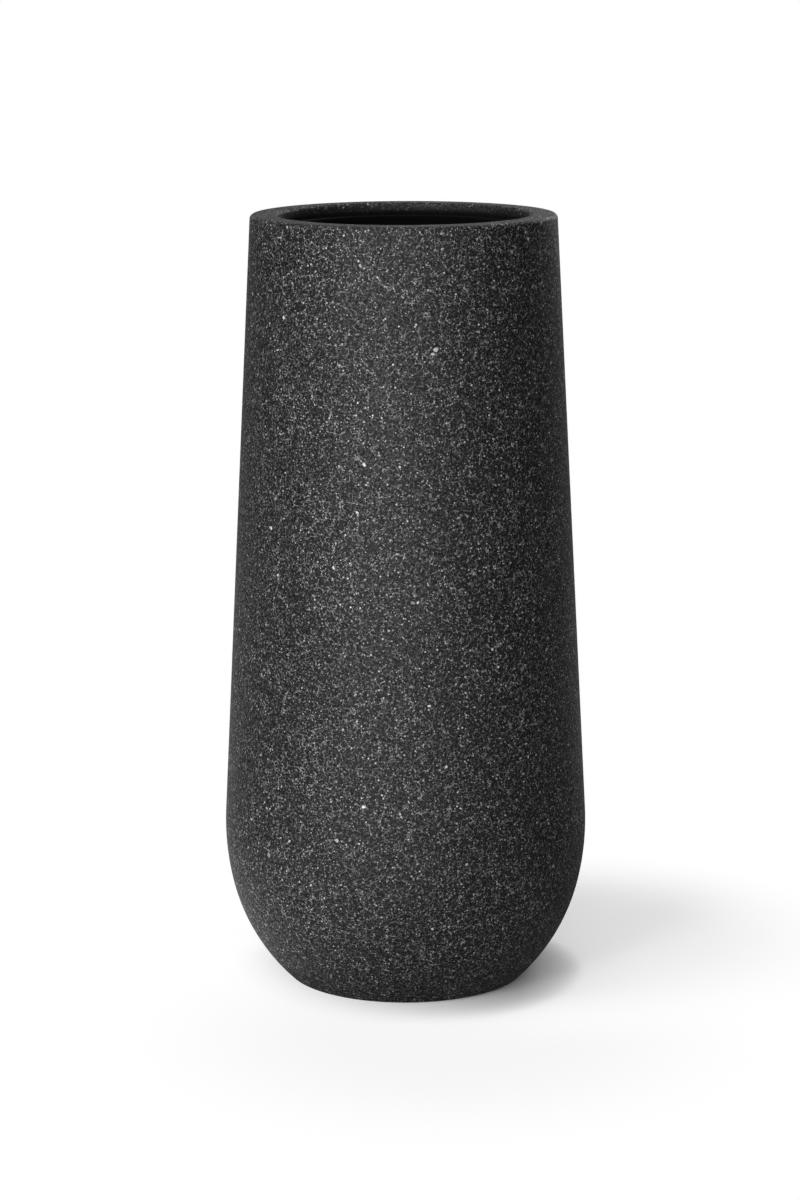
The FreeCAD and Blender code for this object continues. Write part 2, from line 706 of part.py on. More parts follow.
os.makedirs("parts", exist_ok=True)
for piece in pieces:
    shape = piece.Shape
    if shape.isNull() or not shape.isValid() or len(shape.Solids) != 1:
        raise RuntimeError(f"{piece.Label} is not one valid solid")
    shape.exportStep(f"parts/{piece.Label}.step")
    box = shape.BoundBox
    print(
        f"{piece.Label}: volume {shape.Volume / 1000:.1f} cm3, "
        f"x {box.XMin:.2f}..{box.XMax:.2f}, y {box.YMin:.2f}..{box.YMax:.2f}, "
        f"z {box.ZMin:.2f}..{box.ZMax:.2f}"
    )
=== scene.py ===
# %% [markdown]
# # A tall stone planter, built piece by piece
#
# The object is a floor planter of near-black stone composite, 800 mm tall, with a black liner pot that
# hangs in its mouth. Its solids already exist as a measured model, and this lesson dresses them: it
# makes the visible surfaces, gives every piece a finish and lights the scene as a small studio.
# Everything is in metres, in the same frame as the solids, so each piece is modelled where it belongs.

# %% Load the measured model
import json
import math

import bmesh
import bpy
from mathutils import Matrix, noise

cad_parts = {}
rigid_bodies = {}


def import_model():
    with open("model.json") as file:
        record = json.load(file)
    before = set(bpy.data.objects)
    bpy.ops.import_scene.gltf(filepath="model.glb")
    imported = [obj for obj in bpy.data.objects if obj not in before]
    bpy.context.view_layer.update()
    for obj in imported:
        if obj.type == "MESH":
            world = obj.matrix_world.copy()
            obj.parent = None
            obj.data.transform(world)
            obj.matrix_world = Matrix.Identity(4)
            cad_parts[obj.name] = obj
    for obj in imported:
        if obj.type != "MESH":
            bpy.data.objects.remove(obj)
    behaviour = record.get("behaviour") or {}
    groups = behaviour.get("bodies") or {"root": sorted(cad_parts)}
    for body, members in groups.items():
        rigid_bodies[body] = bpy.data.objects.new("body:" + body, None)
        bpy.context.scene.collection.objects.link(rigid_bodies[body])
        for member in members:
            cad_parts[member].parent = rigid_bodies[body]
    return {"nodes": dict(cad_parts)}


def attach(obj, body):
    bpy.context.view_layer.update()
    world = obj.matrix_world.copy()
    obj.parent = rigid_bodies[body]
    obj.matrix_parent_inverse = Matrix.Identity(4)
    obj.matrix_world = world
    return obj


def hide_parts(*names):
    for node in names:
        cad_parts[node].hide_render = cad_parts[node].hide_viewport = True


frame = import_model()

scene = bpy.context.scene
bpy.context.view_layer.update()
print("nodes:", sorted(frame["nodes"]))

# %% [markdown]
# ## The camera
#
# A product photograph of a tall pot is taken from some way off with a long lens, because a near camera
# makes the rim look too wide for the foot. The ellipse of the rim gives the height of the camera, and
# the taper of the outline gives its distance. Here it is a 100 mm lens about 3.4 m away, looking down
# by a little under 12 degrees and turned by a fifth of a degree, as a hand-set tripod often is.

# %% Camera
LENS_MM, FILM_MM = 100.0, 36.0
CAMERA_PLACE = (-0.0051, -3.397, 1.0943)
LOOK_DOWN_DEG, CAMERA_ROLL_DEG = 11.567, -0.2


def new_object(name, data):
    """An object for a camera, lamp or mesh, put into the scene."""
    obj = bpy.data.objects.new(name, data)
    scene.collection.objects.link(obj)
    return obj


lens = bpy.data.cameras.new("studio_camera")
lens.lens = LENS_MM
lens.sensor_width = FILM_MM
camera = new_object("studio_camera", lens)
camera.location = CAMERA_PLACE
tilt = Matrix.Rotation(math.radians(90.0 - LOOK_DOWN_DEG), 3, "X")
roll = Matrix.Rotation(math.radians(CAMERA_ROLL_DEG), 3, "Z")
camera.rotation_euler = (tilt @ roll).to_euler()
scene.camera = camera
scene.view_settings.view_transform = "Standard"
print("camera at", tuple(round(v, 3) for v in camera.location))

# %% [markdown]
# ## Small helpers for node trees
#
# Materials, the world and the geometry trees are all graphs of nodes. Writing a graph by hand takes many
# lines, so these helpers put a node down, set its options and fill its sockets in one call. A socket
# gets either a plain value or another node's output, which is then linked.

# %% Node helpers
def put(tree, kind, feeds=None, **options):
    """Adds a node, sets its options, and fills its sockets from values or from other sockets."""
    made = tree.nodes.new(kind)
    for name, value in options.items():
        setattr(made, name, value)
    for key, value in (feeds or {}).items():
        socket = made.inputs[key]
        if isinstance(value, bpy.types.NodeSocket):
            tree.links.new(value, socket)
        else:
            socket.default_value = value
    return made


def calc(tree, operation, first, second=0.0, third=0.0, clamp=False):
    """A Math node's result."""
    feeds = {0: first, 1: second, 2: third}
    return put(tree, "ShaderNodeMath", feeds, operation=operation, use_clamp=clamp).outputs[0]


def ramp(tree, value, low, high, to_low=0.0, to_high=1.0, smooth=True):
    """Carries a value from one range to another and holds it at the ends."""
    kind = "SMOOTHSTEP" if smooth else "LINEAR"
    feeds = {0: value, 1: low, 2: high, 3: to_low, 4: to_high}
    return put(tree, "ShaderNodeMapRange", feeds, interpolation_type=kind).outputs[0]


def tint(tree, share, under, over):
    """Lays one colour over another, by a share from 0 to 1."""
    feeds = {0: share, 6: under, 7: over}
    return put(tree, "ShaderNodeMix", feeds, data_type="RGBA").outputs[2]


def vector(tree, operation, first, second=None, scale=None):
    """The outputs of a Vector Math node, with a second vector or a scale where the operation needs one."""
    feeds = {0: first}
    if second is not None:
        feeds[1] = second
    if scale is not None:
        feeds["Scale"] = scale
    return put(tree, "ShaderNodeVectorMath", feeds, operation=operation).outputs


def product(tree, *factors):
    """Several values multiplied together."""
    total = factors[0]
    for factor in factors[1:]:
        total = calc(tree, "MULTIPLY", total, factor)
    return total


def grey(level):
    """An opaque grey."""
    return (level, level, level, 1.0)


def empty_finish(name):
    """A new material without nodes, and its node tree."""
    finish = bpy.data.materials.new(name)
    finish.use_nodes = True
    finish.node_tree.nodes.clear()
    return finish, finish.node_tree


def new_finish(name):
    """A new material with its output and one Principled shader."""
    finish, tree = empty_finish(name)
    skin = put(tree, "ShaderNodeBsdfPrincipled")
    put(tree, "ShaderNodeOutputMaterial", {"Surface": skin.outputs["BSDF"]})
    return finish, tree, skin


print("node helpers ready")

# %% [markdown]
# ## The studio: backdrop, floor and lamps
#
# The planter stands on a white sweep. A white sweep that really shone that brightly would wash a dark
# pot out with reflections from all round, so the white is shown only to the camera, while the stone is
# lit by lamps. Mirror-like rays see the white behind the pot and the dim room in front of it, as in a
# real studio, which is what draws the thin pale line down both edges of the body.

# %% World
ROOM_LIGHT = 0.03
SWEEP_EDGE, SWEEP_FULL, SWEEP_SHINE = 0.90, 1.0, 0.7


def ray_kinds(tree):
    """1 for rays from the camera, and 1 for rays that a shiny or clear surface sends on."""
    ray = put(tree, "ShaderNodeLightPath").outputs
    return ray["Is Camera Ray"], calc(tree, "MAXIMUM", ray["Is Glossy Ray"], ray["Is Transmission Ray"])


def blend(tree, share, under, over):
    """Two shaders mixed by a share from 0 to 1."""
    return put(tree, "ShaderNodeMixShader", {0: share, 1: under, 2: over}).outputs[0]


def make_world():
    world = bpy.data.worlds.new("studio_room")
    world.use_nodes = True
    tree = world.node_tree
    tree.nodes.clear()
    seen, shiny = ray_kinds(tree)
    way = put(tree, "ShaderNodeTexCoord").outputs["Generated"]
    depth = put(tree, "ShaderNodeSeparateXYZ", {0: way}).outputs["Y"]
    behind = ramp(tree, depth, SWEEP_EDGE, SWEEP_FULL, ROOM_LIGHT, SWEEP_SHINE)

    def white(strength):
        return put(tree, "ShaderNodeBackground", {"Color": grey(1.0), "Strength": strength}).outputs[0]

    unseen = blend(tree, shiny, white(ROOM_LIGHT), white(behind))
    put(tree, "ShaderNodeOutputWorld", {"Surface": blend(tree, seen, unseen, white(1.0))})
    return world


scene.world = make_world()
print("room light", ROOM_LIGHT)

# %% [markdown]
# The floor is white paper. Near the pot it takes light and shadow like paper, with a little glow of its
# own in place of the light that a whole white room would add; the glow dies away where the foot shades it.
# Farther out the paper turns into plain white, so no horizon shows, with one faint painted shade in front.
# The roll lies to the left of the pot and behind it, so only the gloss on those sides mirrors white; on the
# right, gloss mirrors darker paper, a painted shade for the pot's shadow. Rays that carry bounced light
# find a greyer paper, darker on the right as painted shade, which keeps the dark side dark.

# %% Floor
FLOOR_SIZE = 6.0
# Paper near the pot: how white it is, its own glow, that glow in a mirror, and the shade under the foot
FLOOR_PAPER, FLOOR_GLOW, MIRRORED_GLOW = 0.92, 0.42, 0.8
SHADE_REACH, SHADE_DEPTH, SHADE_SAMPLES = 0.05, 2.2, 8
# Where the paper gives way to plain white, and the faint painted shade in that white in front of the pot
SHADOW_MIDDLE, PAPER_REACH, WHITE_REACH = (0.15, 0.09, 0.0), 0.16, 0.37
FRONT_SHADE_MIDDLE, FRONT_SHADE_TONE, FRONT_SHADE_CORE, FRONT_SHADE_EDGE = (0.04, -0.22, 0.0), 0.92, 0.08, 0.34
# Bounced light, darker on the right as painted shade for the pot's shadow, and how far to each side of the
# pot it changes
BOUNCE_LEFT, BOUNCE_RIGHT, BOUNCE_TURN = 0.60, 0.36, 0.3
# The roll of paper that gloss mirrors, on the left and behind, ending and dimmed on the right as painted
# shade
ROLL_LEFT, ROLL_SHADED_RIGHT, ROLL_SHADE_FADE, ROLL_FRONT = -0.60, 0.02, 0.25, -0.60
ROLL_BACK, ROLL_FULL, MIRRORED_SHADED_RIGHT = 0.30, 0.90, 0.45


def paper_by_the_pot(tree, seen):
    """Paper that takes light and shadow and glows a little, but not where the foot shades it."""
    paper = put(tree, "ShaderNodeBsdfDiffuse", {"Color": grey(FLOOR_PAPER)}).outputs[0]
    shade = {"Distance": SHADE_REACH}
    open_sky = put(tree, "ShaderNodeAmbientOcclusion", shade, samples=SHADE_SAMPLES).outputs["AO"]
    open_sky = calc(tree, "POWER", open_sky, SHADE_DEPTH)
    level = product(tree, open_sky, ramp(tree, seen, 0.0, 1.0, FLOOR_GLOW * MIRRORED_GLOW, FLOOR_GLOW))
    glow = put(tree, "ShaderNodeEmission", {"Color": grey(1.0), "Strength": level}).outputs[0]
    return put(tree, "ShaderNodeAddShader", {0: paper, 1: glow}).outputs[0]


def plain_white(tree, place):
    """Paper far from the pot: white, with a faint painted shade in front of it."""
    # Painted shade: the white turns a little grey in a patch in front of the pot
    front_shade = vector(tree, "DISTANCE", place, FRONT_SHADE_MIDDLE)["Value"]
    front_shade = ramp(tree, front_shade, FRONT_SHADE_CORE, FRONT_SHADE_EDGE, FRONT_SHADE_TONE, 1.0)
    return put(tree, "ShaderNodeEmission", {"Color": grey(1.0), "Strength": front_shade}).outputs[0]


def bounced_paper(tree, across):
    """Greyer paper for bounced light, darker on the right as painted shade for the pot's shadow."""
    # Painted shade: the paper gives less bounced light on the right, where the pot's shadow lies
    lit_side = ramp(tree, across, -BOUNCE_TURN, BOUNCE_TURN, 1.0, 0.0)
    tone = tint(tree, lit_side, grey(BOUNCE_RIGHT), grey(BOUNCE_LEFT))
    return put(tree, "ShaderNodeBsdfDiffuse", {"Color": tone}).outputs[0]


def mirrored_roll_and_shade(tree, across, back):
    """1 where the roll of paper lies that gloss mirrors, falling on the right as painted shade for the pot's
    shadow.
    """
    # Painted shade: gloss on the right mirrors the dark paper instead of white
    beside = product(tree, ramp(tree, across, ROLL_SHADED_RIGHT - ROLL_SHADE_FADE, ROLL_SHADED_RIGHT, 1.0, 0.0),
                     calc(tree, "GREATER_THAN", across, ROLL_LEFT),
                     calc(tree, "GREATER_THAN", back, ROLL_FRONT))
    behind = product(tree, ramp(tree, back, ROLL_BACK, ROLL_FULL),
                     ramp(tree, across, -ROLL_BACK, ROLL_BACK, 1.0, MIRRORED_SHADED_RIGHT))
    return calc(tree, "MAXIMUM", beside, behind)


def make_floor():
    finish, tree = empty_finish("white_sweep")
    seen, shiny = ray_kinds(tree)
    place = put(tree, "ShaderNodeTexCoord").outputs["Object"]
    side = put(tree, "ShaderNodeSeparateXYZ", {0: place}).outputs
    reach = vector(tree, "DISTANCE", place, SHADOW_MIDDLE)["Value"]
    far = product(tree, ramp(tree, reach, PAPER_REACH, WHITE_REACH), seen)
    bright = blend(tree, far, paper_by_the_pot(tree, seen), plain_white(tree, place))
    shown = calc(tree, "MAXIMUM", seen, product(tree, shiny, mirrored_roll_and_shade(tree, side["X"], side["Y"])))
    mixed = blend(tree, shown, bounced_paper(tree, side["X"]), bright)
    put(tree, "ShaderNodeOutputMaterial", {"Surface": mixed})

    half = FLOOR_SIZE / 2
    corners = [(-half, -half, 0), (half, -half, 0), (half, half, 0), (-half, half, 0)]
    mesh = bpy.data.meshes.new("white_sweep")
    mesh.from_pydata(corners, [], [(0, 1, 2, 3)])
    mesh.materials.append(finish)
    return new_object("white_sweep", mesh)


floor = make_floor()
print("floor", FLOOR_SIZE, "m square")

# %% [markdown]
# A large softbox high on the left throws the soft shadow on the right, and a weaker one overhead lights
# the rim. A tall strip nearer to the camera draws the pale band left of the middle, since a smooth dark
# stone shows its lamps as bands. A lamp in front opens the dark side, and two lamps behind keep the edges
# from being lost.

# %% Lamps
LAMPS = {
    # Azimuth and elevation in degrees, width and height in metres, watts
    "side_softbox": (-58.0, 64.0, 1.1, 1.5, 14.0),
    "band_strip": (-27.0, 8.0, 0.6, 2.0, 33.0),
    "front_fill": (6.0, 10.0, 1.1, 1.5, 18.5),
    "top_softbox": (-20.0, 84.0, 1.1, 1.5, 13.0),
    "edge_lamp_right": (150.0, 26.0, 1.1, 1.5, 12.0),
    "edge_lamp_left": (-150.0, 25.0, 1.1, 1.5, 1.5),
}
LAMP_DISTANCE, AIM_HEIGHT = 2.4, 0.42


def softbox(name, azimuth, elevation, width, height, watts):
    """A rectangular lamp aimed at the middle of the pot; azimuth 0 is the camera's side, plus is right."""
    lamp = bpy.data.lights.new(name, "AREA")
    lamp.shape = "RECTANGLE"
    lamp.size, lamp.size_y = width, height
    lamp.energy = watts
    obj = new_object(name, lamp)
    turn, rise = math.radians(azimuth), math.radians(elevation)
    reach = LAMP_DISTANCE * math.cos(rise)
    up = AIM_HEIGHT + LAMP_DISTANCE * math.sin(rise)
    obj.location = (reach * math.sin(turn), -reach * math.cos(turn), up)
    obj.rotation_euler = (math.radians(90.0) - rise, 0.0, turn)


for name, row in LAMPS.items():
    softbox(name, *row)
print("lamps:", ", ".join("%s %.1f W" % (name, row[-1]) for name, row in LAMPS.items()))

# %% [markdown]
# ## The section of the body
#
# A pot like this is turned or moulded round one axis, so a single cross-section describes it. The
# outside is three tangent pieces: a straight flank that widens downward, a belly arc and a tighter heel
# arc that runs in to the foot. The inside keeps the wall even, and steps in near the top to a ledge for
# the liner. The sizes are those of the solid model, in metres.

# %% Sizes of the body
MM = 0.001
HEIGHT, RIM_RADIUS, TAPER = 800 * MM, 156.4 * MM, math.radians(2.98)
BELLY_TOP, BELLY_ARC = 178 * MM, 268 * MM
HEEL_TOP, HEEL_ARC = 101.6 * MM, 203 * MM
WALL, FLOOR_WALL, FLOOR_ROUND = 10 * MM, 12 * MM, 14 * MM
RIM_WIDTH, FLANGE_DROP, FLANGE_THICK = 27.7 * MM, 12.5 * MM, 4 * MM
LEDGE_WIDTH, LEDGE_THICK = 10 * MM, 12 * MM
FOOT_HEIGHT, FOOT_WIDTH, RECESS_DEPTH = 2 * MM, 34 * MM, 8 * MM
DRAIN_RADIUS = 14 * MM
RIM_ROUND_OUTER, RIM_ROUND_INNER, LEDGE_ROUND, FOOT_ROUND = 4.4 * MM, 3.5 * MM, 1.2 * MM, 2 * MM
PAD_RADIUS, PAD_GAP, SOCKET_DEPTH, PAD_COUNT = 10 * MM, 0.2 * MM, 2.5 * MM, 4


def along(centre, radius, angle):
    """A point of an arc in the section plane."""
    return (centre[0] + radius * math.cos(angle), centre[1] + radius * math.sin(angle))


belly_edge = (RIM_RADIUS + (HEIGHT - BELLY_TOP) * math.tan(TAPER), BELLY_TOP)
belly_centre = along(belly_edge, -BELLY_ARC, TAPER)
heel_turn = math.asin((HEEL_TOP - belly_centre[1]) / BELLY_ARC)
heel_centre = along(belly_centre, BELLY_ARC - HEEL_ARC, heel_turn)
foot_turn = math.asin((FOOT_HEIGHT - heel_centre[1]) / HEEL_ARC)
foot_radius = along(heel_centre, HEEL_ARC, foot_turn)[0]
widest_radius = belly_centre[0] + BELLY_ARC
print("widest radius %.1f mm, foot radius %.1f mm" % (widest_radius / MM, foot_radius / MM))

# %% [markdown]
# The section is a closed loop of corners. Each corner carries the radius of its round as a number on the
# point, and the geometry tree rounds it later, so the loop itself stays short and readable. Arcs and the
# long flank are divided into steps, which gives even faces.

# %% Section of the body
HEEL_STEPS, BELLY_STEPS, FLANK_STEPS = 24, 18, 16
INNER_FLANK_STEPS, INNER_ARC_STEPS, CORNER_STEPS = 12, 16, 8


def arc_run(centre, radius, start, end, steps):
    """Points along an arc, both ends included."""
    return [along(centre, radius, start + (end - start) * i / steps) for i in range(steps + 1)]


def line_run(start, end, steps):
    """Points along a straight line, without its two ends."""
    shares = [i / steps for i in range(1, steps)]
    return [(start[0] + (end[0] - start[0]) * t, start[1] + (end[1] - start[1]) * t) for t in shares]


def body_section():
    """Corners (radius, height, round) from the drain hole out, up, over the rim and down inside."""
    roof = FOOT_HEIGHT + RECESS_DEPTH
    floor_top = roof + FLOOR_WALL
    recess = foot_radius - FOOT_WIDTH
    mouth = RIM_RADIUS - RIM_WIDTH
    neck = mouth - LEDGE_WIDTH
    ledge = HEIGHT - FLANGE_DROP - FLANGE_THICK
    collar = ledge - LEDGE_THICK
    inner_top = (RIM_RADIUS - WALL / math.cos(TAPER), HEIGHT)
    slope = math.tan(TAPER)
    drop = (inner_top[0] + (HEIGHT - collar) * slope - neck) / (1.0 - slope)
    shoulder = (neck + drop, collar - drop)
    inner_belly = along(belly_centre, BELLY_ARC - WALL, TAPER)
    corner_arc = HEEL_ARC - WALL - FLOOR_ROUND
    corner_turn = math.asin((floor_top + FLOOR_ROUND - heel_centre[1]) / corner_arc)
    corner_centre = along(heel_centre, corner_arc, corner_turn)

    def plain(points):
        return [(r, z, 0.0) for r, z in points]

    loop = [(DRAIN_RADIUS, roof, 0.0), (recess, roof, 0.0), (recess, FOOT_HEIGHT, FOOT_ROUND)]
    loop += [(foot_radius, FOOT_HEIGHT, FOOT_ROUND)]
    loop += plain(arc_run(heel_centre, HEEL_ARC, foot_turn, heel_turn, HEEL_STEPS)[1:])
    loop += plain(arc_run(belly_centre, BELLY_ARC, heel_turn, TAPER, BELLY_STEPS)[1:])
    loop += plain(line_run(belly_edge, (RIM_RADIUS, HEIGHT), FLANK_STEPS))
    loop += [(RIM_RADIUS, HEIGHT, RIM_ROUND_OUTER), (mouth, HEIGHT, RIM_ROUND_INNER)]
    loop += [(mouth, ledge, 0.0), (neck, ledge, LEDGE_ROUND), (neck, collar, LEDGE_ROUND)]
    loop += plain([shoulder] + line_run(shoulder, inner_belly, INNER_FLANK_STEPS))
    loop += plain(arc_run(belly_centre, BELLY_ARC - WALL, TAPER, heel_turn, INNER_ARC_STEPS))
    loop += plain(arc_run(heel_centre, HEEL_ARC - WALL, heel_turn, corner_turn, INNER_ARC_STEPS)[1:])
    loop += plain(arc_run(corner_centre, FLOOR_ROUND, corner_turn, -math.pi / 2, CORNER_STEPS)[1:])
    loop += [(DRAIN_RADIUS, floor_top, 0.0)]
    return loop


section = body_section()
print("section has", len(section), "corners")

# %% [markdown]
# ## Turning the section on its axis
#
# The Screw modifier or Spin could turn a section, but a geometry tree keeps the rule visible: round the
# corners, count the points, lay a grid with one row for each point and one column for each step of the
# turn, and put every grid point where its section point goes when it is turned by its column's angle.
# Merging by distance closes the seam. The same tree then drills a ring of holes, which are the pad
# sockets under this foot.

# %% Geometry tree that turns and drills
SEAM_GAP, DRILL_SIDES = 0.02 * MM, 48
# Added to an index before it is divided, so that the result never falls just short of a whole number
ROUNDING_GUARD = 0.25


def new_tree(name, inputs):
    """A geometry tree with named inputs; returns it, its input sockets and the inputs' identifiers."""
    tree = bpy.data.node_groups.new(name, "GeometryNodeTree")
    tree.interface.new_socket("Geometry", in_out="INPUT", socket_type="NodeSocketGeometry")
    keys = {}
    for label, kind in inputs.items():
        keys[label] = tree.interface.new_socket(label, in_out="INPUT", socket_type=kind).identifier
    tree.interface.new_socket("Geometry", in_out="OUTPUT", socket_type="NodeSocketGeometry")
    return tree, put(tree, "NodeGroupInput").outputs, keys


def close_tree(tree, shape, finish):
    """Gives the shape its finish and hands it on as the tree's result."""
    done = put(tree, "GeometryNodeSetMaterial", {"Geometry": shape, "Material": finish})
    put(tree, "NodeGroupOutput", {"Geometry": done.outputs[0]})


def turned_shell(tree, given):
    """The section with rounded corners, turned once round the Z axis."""
    size = put(tree, "GeometryNodeInputNamedAttribute", {"Name": "corner_round"}, data_type="FLOAT")
    line = put(tree, "GeometryNodeMeshToCurve", {"Mesh": given["Geometry"]}).outputs[0]
    line = put(tree, "GeometryNodeFilletCurve", {
        "Curve": line, "Count": given["Steps in a round"], "Radius": size.outputs["Attribute"],
        "Limit Radius": True}, mode="POLY").outputs[0]
    count = put(tree, "GeometryNodeAttributeDomainSize", {0: line}, component="CURVE")
    points = count.outputs["Point Count"]
    rows = calc(tree, "ADD", points, 1.0)
    columns = calc(tree, "ADD", given["Steps round"], 1.0)
    grid = put(tree, "GeometryNodeMeshGrid", {"Vertices X": columns, "Vertices Y": rows})
    index = put(tree, "GeometryNodeInputIndex").outputs[0]
    column = calc(tree, "FLOOR", calc(tree, "DIVIDE", calc(tree, "ADD", index, ROUNDING_GUARD), rows))
    row = calc(tree, "MODULO", calc(tree, "SUBTRACT", index, product(tree, column, rows)), points)
    place = put(tree, "GeometryNodeInputPosition").outputs[0]
    spot = put(tree, "GeometryNodeSampleIndex", {"Geometry": line, "Value": place, "Index": row},
               data_type="FLOAT_VECTOR", domain="POINT").outputs[0]
    angle = calc(tree, "DIVIDE", product(tree, column, math.tau), given["Steps round"])
    turned = put(tree, "ShaderNodeVectorRotate", {"Vector": spot, "Angle": angle}, rotation_type="Z_AXIS")
    shell = put(tree, "GeometryNodeSetPosition", {
        "Geometry": grid.outputs["Mesh"], "Position": turned.outputs[0]}).outputs[0]
    shell = put(tree, "GeometryNodeMergeByDistance", {"Geometry": shell, "Distance": SEAM_GAP}).outputs[0]
    return put(tree, "GeometryNodeSetShadeSmooth", {"Geometry": shell, "Shade Smooth": True}).outputs[0]


def drill_bits(tree, given):
    """A ring of upright cylinders, one for each hole."""
    ring = put(tree, "GeometryNodeMeshCircle", {
        "Vertices": given["Hole count"], "Radius": given["Hole ring radius"]}).outputs[0]
    lift = put(tree, "ShaderNodeCombineXYZ", {"Z": given["Hole middle height"]}).outputs[0]
    start = put(tree, "ShaderNodeCombineXYZ", {"Z": given["First hole angle"]}).outputs[0]
    ring = put(tree, "GeometryNodeTransform", {
        "Geometry": ring, "Translation": lift, "Rotation": start}).outputs[0]
    bit = put(tree, "GeometryNodeMeshCylinder", {
        "Vertices": DRILL_SIDES, "Radius": given["Hole radius"], "Depth": given["Hole depth"]},
        fill_type="NGON").outputs["Mesh"]
    bits = put(tree, "GeometryNodeInstanceOnPoints", {"Points": ring, "Instance": bit}).outputs[0]
    return put(tree, "GeometryNodeRealizeInstances", {"Geometry": bits}).outputs[0]


def turning_tree():
    tree, given, keys = new_tree("turn_and_drill", {
        "Steps round": "NodeSocketInt", "Steps in a round": "NodeSocketInt",
        "Hole count": "NodeSocketInt", "Hole radius": "NodeSocketFloat",
        "Hole ring radius": "NodeSocketFloat", "Hole middle height": "NodeSocketFloat",
        "Hole depth": "NodeSocketFloat", "First hole angle": "NodeSocketFloat",
        "Finish": "NodeSocketMaterial"})
    drilled = put(tree, "GeometryNodeMeshBoolean", {
        "Mesh 1": turned_shell(tree, given), "Mesh 2": drill_bits(tree, given)},
        operation="DIFFERENCE", solver="EXACT").outputs[0]
    whole = put(tree, "GeometryNodeRealizeInstances", {"Geometry": drilled}).outputs[0]
    close_tree(tree, whole, given["Finish"])
    return tree, keys


turner, turner_keys = turning_tree()
print("turning tree has", len(turner.nodes), "nodes")

# %% [markdown]
# A geometry modifier stays live until its result is stored as a plain mesh. The helpers below set its
# inputs, read the evaluated object, keep that mesh and remove the modifier, and measure the enclosed
# volume. A positive volume also proves that the faces point outwards.

# %% Storing a modifier's result
SHARP_DEG, LITRES = 40.0, 1000.0


def shape_by_tree(obj, tree, keys, values):
    """Shapes an object by a geometry tree, and keeps a plain mesh with smooth faces and crisp corners."""
    live = obj.modifiers.new(tree.name, "NODES")
    live.node_group = tree
    for label, value in values.items():
        live[keys[label]] = value
    graph = bpy.context.evaluated_depsgraph_get()
    mesh = bpy.data.meshes.new_from_object(obj.evaluated_get(graph), depsgraph=graph)
    obj.modifiers.clear()
    obj.data = mesh
    mesh.name = obj.name
    mesh.shade_smooth()
    mesh.set_sharp_from_angle(angle=math.radians(SHARP_DEG))


def volume_of(mesh):
    """Enclosed volume in litres, from the signed volumes of its triangles."""
    mesh.calc_loop_triangles()
    spots = mesh.vertices
    total = 0.0
    for tri in mesh.loop_triangles:
        a, b, c = (spots[i].co for i in tri.vertices)
        total += a.dot(b.cross(c))
    return total / 6.0 * LITRES


def section_object(name, corners):
    """A loop of edges in the XZ plane, with the round of each corner stored on its point."""
    mesh = bpy.data.meshes.new(name)
    edges = [(i, (i + 1) % len(corners)) for i in range(len(corners))]
    mesh.from_pydata([(r, 0.0, z) for r, z, _ in corners], edges, [])
    sizes = mesh.attributes.new("corner_round", "FLOAT", "POINT")
    sizes.data.foreach_set("value", [size for _, _, size in corners])
    return new_object(name, mesh)


print("mesh helpers ready")

# %% [markdown]
# ## The stone finish
#
# The body is cast from dark mineral composite. Close up it is a charcoal ground under a web of thin,
# broken, curly pale lines, with bright specks of about a millimetre and slow changes of tone. An image
# texture could hold that, but textures read at object coordinates have no seams and no stretching. The
# lines are the cell walls of a Voronoi texture on a bent space, and a noise breaks them into short curls.

# %% Parts of the stone pattern
SEED_WAY = (1.0, 1.7, -1.0)
CORE_SHARE = 0.4
MIDDLE_GREY, BLUE_TRACE = (0.5, 0.5, 0.5), 1.02


def shifted(tree, place, seed):
    """The same space moved aside, so that two textures of one kind do not repeat each other."""
    return vector(tree, "ADD", place, tuple(seed * way for way in SEED_WAY))[0]


def cloud(tree, place, scale, detail, seed):
    """Soft noise around 0.5."""
    feeds = {"Vector": shifted(tree, place, seed), "Scale": scale, "Detail": detail}
    return put(tree, "ShaderNodeTexNoise", feeds).outputs[0]


def push(tree, place, scale, amount):
    """A small step in a chance direction, from a coloured noise."""
    feeds = {"Vector": place, "Scale": scale, "Detail": 1.0}
    colour = put(tree, "ShaderNodeTexNoise", feeds).outputs["Color"]
    return vector(tree, "SCALE", vector(tree, "SUBTRACT", colour, MIDDLE_GREY)[0], scale=amount)[0]


def bent_space(tree, place, scale, amount):
    """The place pushed about, which makes straight cell walls curl."""
    return vector(tree, "ADD", place, push(tree, place, scale, amount))[0]


def cell_walls(tree, place, scale, half_width, seed):
    """Thin pale lines where the cells of a Voronoi texture meet; the half width is in metres."""
    feeds = {"Vector": shifted(tree, place, seed), "Scale": scale}
    gap = put(tree, "ShaderNodeTexVoronoi", feeds, feature="DISTANCE_TO_EDGE").outputs["Distance"]
    return ramp(tree, gap, 0.0, half_width * scale, 1.0, 0.0)


def specks(tree, place, scale, size, share, power, seed):
    """Round grains in some Voronoi cells; white noise picks them and makes most of them dim."""
    feeds = {"Vector": shifted(tree, place, seed), "Scale": scale}
    cells = put(tree, "ShaderNodeTexVoronoi", feeds, feature="F1")
    fate = put(tree, "ShaderNodeTexWhiteNoise", {"Vector": cells.outputs["Color"]},
               noise_dimensions="3D")
    pick = put(tree, "ShaderNodeSeparateColor", {0: fate.outputs["Color"]})
    core = ramp(tree, cells.outputs["Distance"], size * CORE_SHARE, size, 1.0, 0.0)
    chosen = calc(tree, "LESS_THAN", pick.outputs[0], share)
    return product(tree, core, chosen, calc(tree, "POWER", pick.outputs[1], power))


def weighted_sum(tree, *pairs):
    """Adds up values, each times its weight."""
    total = 0.0
    for value, weight in pairs:
        total = calc(tree, "MULTIPLY_ADD", value, weight, total)
    return total


